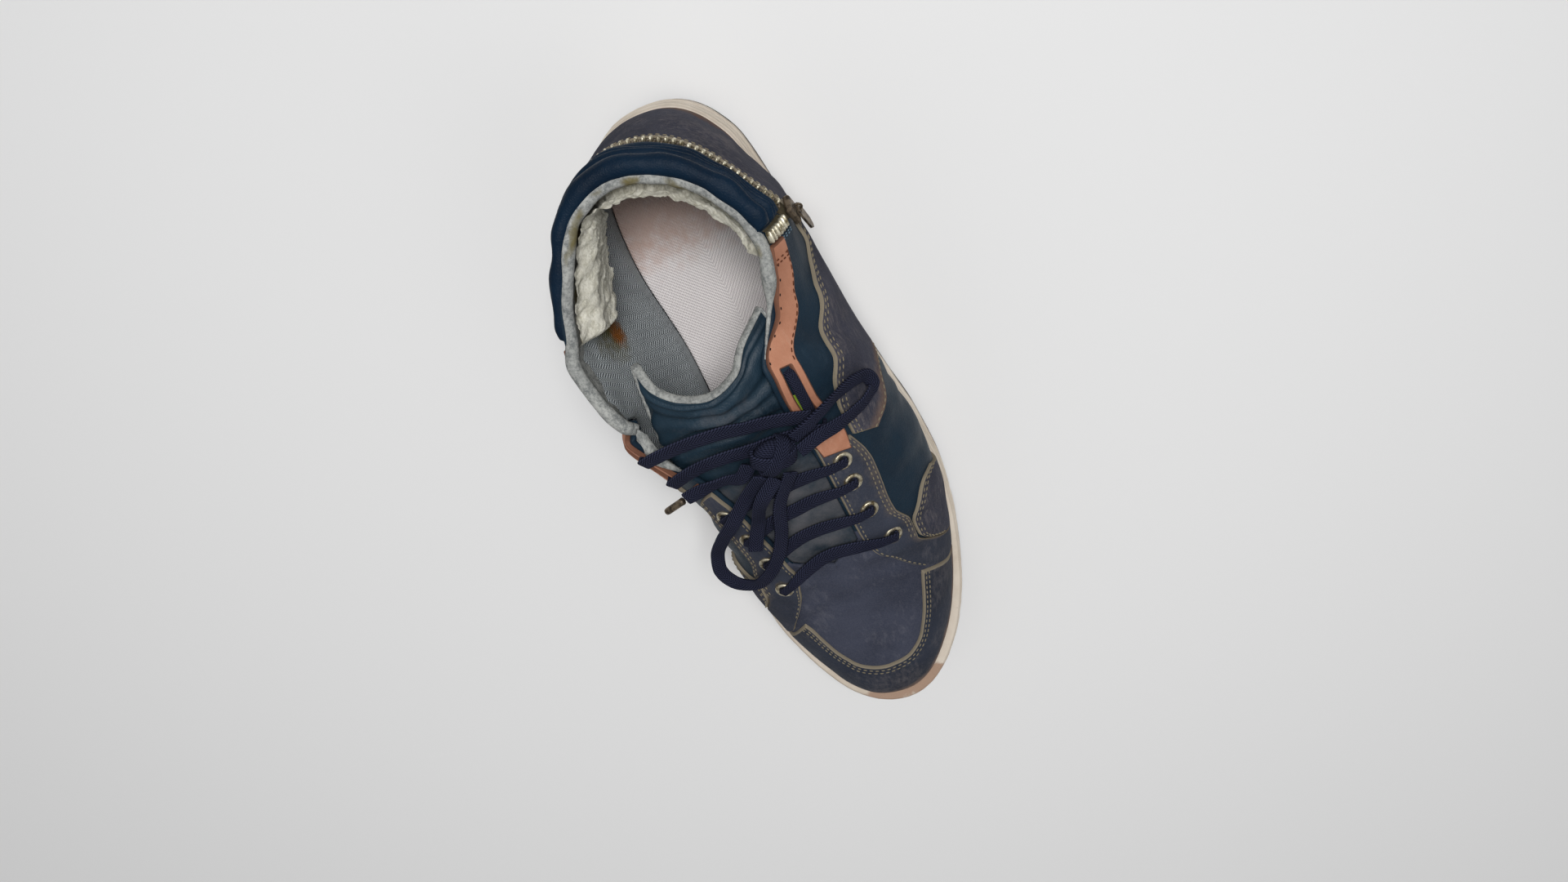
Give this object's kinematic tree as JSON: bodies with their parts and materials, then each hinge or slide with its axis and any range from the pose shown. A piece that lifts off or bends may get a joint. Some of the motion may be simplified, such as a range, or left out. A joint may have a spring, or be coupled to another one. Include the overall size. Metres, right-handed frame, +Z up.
{
  "type": "sneaker",
  "caption": "Worn out left sneaker of mid height, with leather and nubuck panels, a zip round the heel, a padded collar, a tongue and a tied lace.",
  "frame": {"origin": "on the floor, at the middle of the heel's flat spot", "axes": "+X to the toe, +Y to the wearer's left, which is the outer side, +Z up"},
  "size_m": [0.3006, 0.1081, 0.1189],
  "materials": {
    "outsole_rubber": "matt worn rubber",
    "midsole_rubber": "cream rubber, dirty along its foot",
    "insole_knit": "ribbed footbed, stained at the heel",
    "petrol_leather": "smooth petrol-blue leather",
    "tongue_leather": "wrinkled petrol-blue leather",
    "navy_nubuck": "scuffed navy nubuck",
    "navy_facing": "worn navy leather",
    "tan_leather": "worn brown leather",
    "cuff_leather": "soft creased leather over padding",
    "zip_tape": "woven tape",
    "zip_brass": "dull antique brass",
    "zip_slider": "darkened metal",
    "eyelet_brass": "antique brass, rusty at its edge",
    "navy_lace": "flat woven lace"
  },
  "bodies": {
    "shoe": {"outsole": "outsole_rubber", "midsole": "midsole_rubber", "insole": "insole_knit", "upper": "petrol_leather", "tongue": "tongue_leather", "heel_counter": "navy_nubuck", "side_strap_lateral": "navy_nubuck", "side_strap_medial": "navy_nubuck", "side_patch_lateral": "navy_nubuck", "side_patch_medial": "navy_nubuck", "toe_guard": "navy_nubuck", "eyestay_lateral": "navy_facing", "eyestay_medial": "navy_facing", "tan_trim_lateral": "tan_leather", "tan_trim_medial": "tan_leather", "collar_cuff": "cuff_leather", "zip_tape": "zip_tape", "zip_teeth": "zip_brass", "zip_riser": "zip_brass", "zip_slider": "zip_slider", "zip_bridge": "zip_slider", "eyelet_lateral_1": "eyelet_brass", "eyelet_lateral_2": "eyelet_brass", "eyelet_lateral_3": "eyelet_brass", "eyelet_lateral_4": "eyelet_brass", "eyelet_medial_1": "eyelet_brass", "eyelet_medial_2": "eyelet_brass", "eyelet_medial_3": "eyelet_brass", "eyelet_medial_4": "eyelet_brass", "lace_bar_1": "navy_lace", "lace_bar_2": "navy_lace", "lace_bar_3": "navy_lace", "lace_bar_4": "navy_lace", "lace_strand_1": "navy_lace", "lace_strand_2": "navy_lace", "lace_knot": "navy_lace", "lace_loop_1": "navy_lace", "lace_loop_2": "navy_lace", "lace_end_1": "navy_lace", "lace_end_2": "navy_lace", "lace_tip": "navy_lace"},
    "zip_pull": {"zip_pull": "zip_slider"}
  },
  "joints": [
    {"name": "pull_hinge", "type": "hinge", "parent": "shoe", "child": "zip_pull", "pos_m": [0.01901, 0.04776, 0.08586], "axis": [0.6323, -0.1069, 0.7673], "range_deg": [0, 140]}
  ]
}
